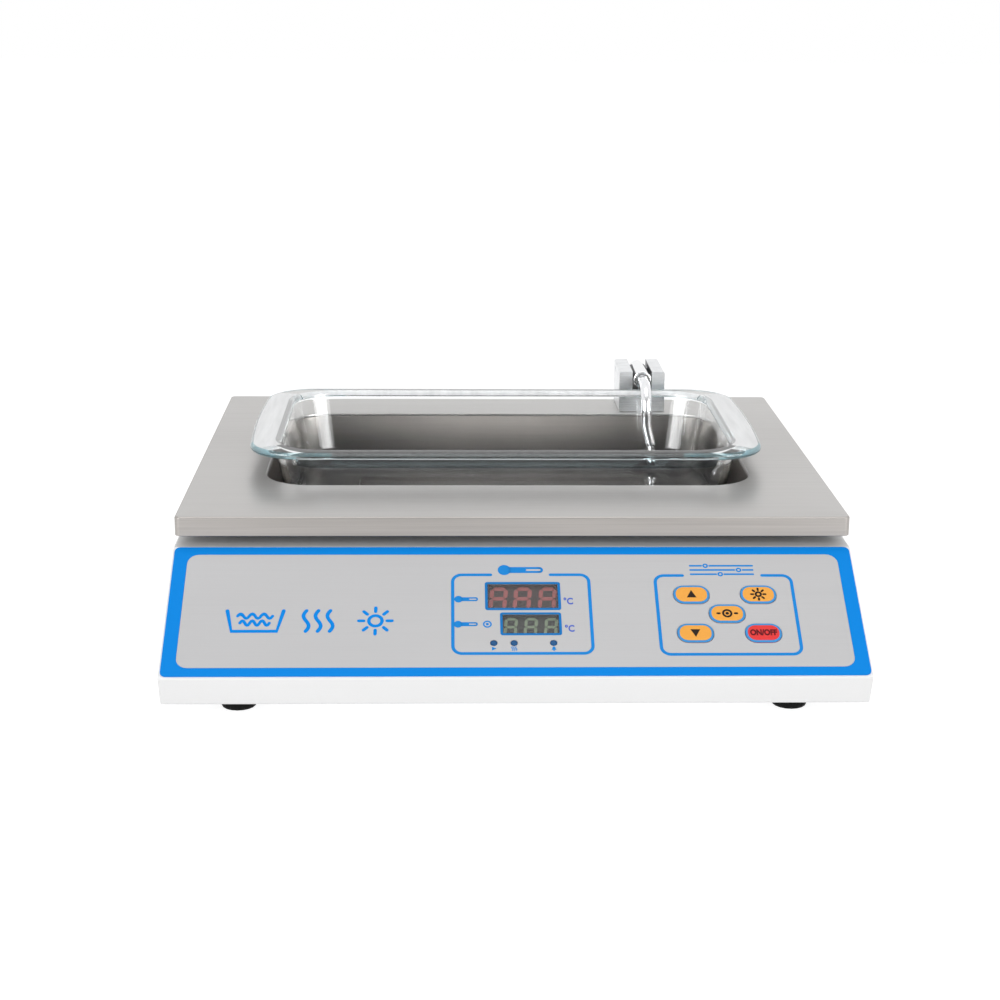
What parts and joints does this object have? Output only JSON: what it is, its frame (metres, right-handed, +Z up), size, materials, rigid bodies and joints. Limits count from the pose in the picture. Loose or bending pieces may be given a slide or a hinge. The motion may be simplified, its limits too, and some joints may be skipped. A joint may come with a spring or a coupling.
{
  "type": "tissue flotation bath",
  "caption": "Heated, lit bench bath: a glass dish in a stainless-topped well, with a hinged sensor rod and a sloping key panel with displays.",
  "frame": {"origin": "on the bench under the feet, at the middle of the whole object's footprint", "axes": "+Z up, +Y towards the back, +X to the right as seen from the sloping key panel"},
  "size_m": [0.362, 0.358, 0.1159],
  "materials": {
    "white_paint": "satin white powder coat on folded sheet steel",
    "sheet_steel": "plain zinc-coated sheet steel",
    "plate_steel": "fine satin-ground stainless steel",
    "tub_steel": "drawn stainless steel, brushed and slightly dull",
    "black_coat": "black-coated aluminium hot plate, satin",
    "zinc": "bright zinc-plated fastener",
    "chrome": "polished chrome plate",
    "aluminium": "pale satin-machined aluminium",
    "glass": "thick clear pressed glass, faint blue-green at the edges",
    "rubber": "matte black moulded rubber",
    "black_plastic": "matte black plastic",
    "blue_film": "blue printed film, satin",
    "brushed_film": "silver-grey printed film with a fine brushed look",
    "orange_key": "orange satin key",
    "red_key": "red satin key",
    "red_display_glass": "smoked window with a red tint",
    "green_display_glass": "smoked window with a green tint",
    "indicator_lens": "small clear-blue lamp lens",
    "smoked_window": "dark smoked light window",
    "heater_silicone": "red-brown silicone heating mat",
    "white_plastic": "plain white plastic",
    "board_green": "green lacquered circuit board"
  },
  "bodies": {
    "body": {"casing_shell": "white_paint", "base_plate": "sheet_steel", "base_rail_left": "sheet_steel", "base_rail_right": "sheet_steel", "top_plate": "plate_steel", "spacer_frame": "black_plastic", "well_tub": "tub_steel", "hot_plate": "black_coat", "light_window": "smoked_window", "heater_mat": "heater_silicone", "light_tray": "white_plastic", "led_strip_front": "white_plastic", "led_strip_back": "white_plastic", "probe_block": "aluminium", "pivot_pin": "zinc", "probe_lead": "black_plastic", "overlay_border": "blue_film", "overlay_faceplate": "brushed_film", "upper_display_window": "red_display_glass", "lower_display_window": "green_display_glass", "upper_display_module": "black_plastic", "lower_display_module": "black_plastic", "indicator_run": "indicator_lens", "indicator_heat": "indicator_lens", "indicator_alarm": "indicator_lens", "switch_up": "black_plastic", "switch_down": "black_plastic", "switch_set": "black_plastic", "switch_light": "black_plastic", "switch_power": "black_plastic", "control_board": "board_green", "transformer": "sheet_steel", "thermal_cutout": "black_plastic", "power_inlet": "black_plastic", "foot_front_left": "rubber", "foot_front_right": "rubber", "foot_back_left": "rubber", "foot_back_right": "rubber", "foot_screw_front_left": "zinc", "foot_screw_front_right": "zinc", "foot_screw_back_left": "zinc", "foot_screw_back_right": "zinc", "base_screw_front_left": "zinc", "base_screw_front_right": "zinc", "base_screw_back_left": "zinc", "base_screw_back_right": "zinc", "plate_nut_front_left": "zinc", "plate_nut_front_right": "zinc", "plate_nut_back_left": "zinc", "plate_nut_back_right": "zinc", "block_screw_left": "zinc", "block_screw_right": "zinc"},
    "dish": {"glass_dish": "glass"},
    "probe_arm": {"probe_sleeve": "chrome", "probe_rod": "chrome"},
    "key_up": {"key_up": "orange_key"},
    "key_down": {"key_down": "orange_key"},
    "key_set": {"key_set": "orange_key"},
    "key_light": {"key_light": "orange_key"},
    "key_power": {"key_power": "red_key"}
  },
  "joints": [
    {"name": "dish_lift", "type": "slide", "parent": "body", "child": "dish", "axis": [0, 0, 1], "range_m": [0, 0.045]},
    {"name": "probe_swing", "type": "hinge", "parent": "body", "child": "probe_arm", "pos_m": [0.0922, 0.16815, 0.1103], "axis": [-1, 0, 0], "range_deg": [0, 105]},
    {"name": "key_up_press", "type": "slide", "parent": "body", "child": "key_up", "axis": [0, 0.5332, -0.846], "range_m": [0, 0.0006], "stiffness_N_per_m": 1500, "springref_m": -0.0003},
    {"name": "key_down_press", "type": "slide", "parent": "body", "child": "key_down", "axis": [0, 0.5332, -0.846], "range_m": [0, 0.0006], "stiffness_N_per_m": 1500, "springref_m": -0.0003},
    {"name": "key_set_press", "type": "slide", "parent": "body", "child": "key_set", "axis": [0, 0.5332, -0.846], "range_m": [0, 0.0006], "stiffness_N_per_m": 1500, "springref_m": -0.0003},
    {"name": "key_light_press", "type": "slide", "parent": "body", "child": "key_light", "axis": [0, 0.5332, -0.846], "range_m": [0, 0.0006], "stiffness_N_per_m": 1500, "springref_m": -0.0003},
    {"name": "key_power_press", "type": "slide", "parent": "body", "child": "key_power", "axis": [0, 0.5332, -0.846], "range_m": [0, 0.0006], "stiffness_N_per_m": 1500, "springref_m": -0.0003}
  ],
  "couplings": [
    {"joint": "probe_swing", "follows": "dish_lift", "rad_per_m": 40.7}
  ]
}
